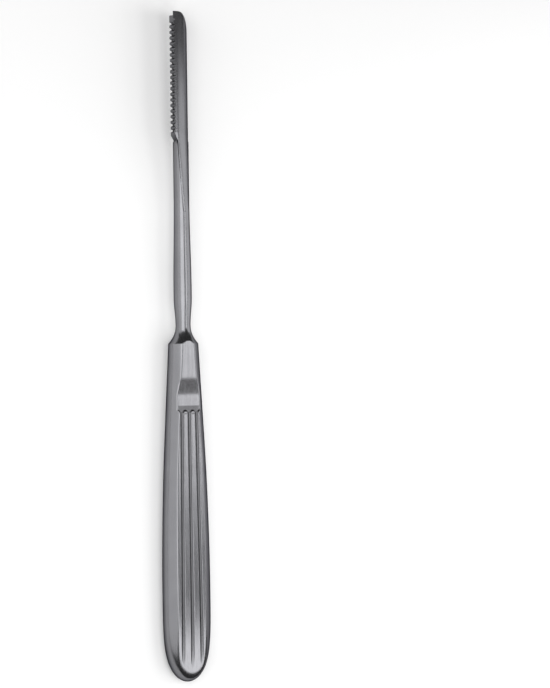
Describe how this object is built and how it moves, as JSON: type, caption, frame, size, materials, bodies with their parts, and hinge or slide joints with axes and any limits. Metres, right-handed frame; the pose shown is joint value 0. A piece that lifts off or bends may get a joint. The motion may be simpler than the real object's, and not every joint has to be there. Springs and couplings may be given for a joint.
{
  "type": "rasp",
  "caption": "Surgical hand rasp: crescent head with transverse teeth on its hollow face, slim round shank and a fluted drop-shaped handle with a thumb rest.",
  "frame": {"origin": "middle of the footprint, on the surface the rasp lies on", "axes": "+Y from the handle's butt to the toothed tip, +Z out of the thumb rest's face, -X towards the toothed side of the head"},
  "size_m": [0.0156, 0.21, 0.0124],
  "materials": {
    "steel": "satin stainless steel, brushed along the handle and shank, with bright eased edges"
  },
  "bodies": {
    "root": {"rasp": "steel"}
  },
  "joints": []
}
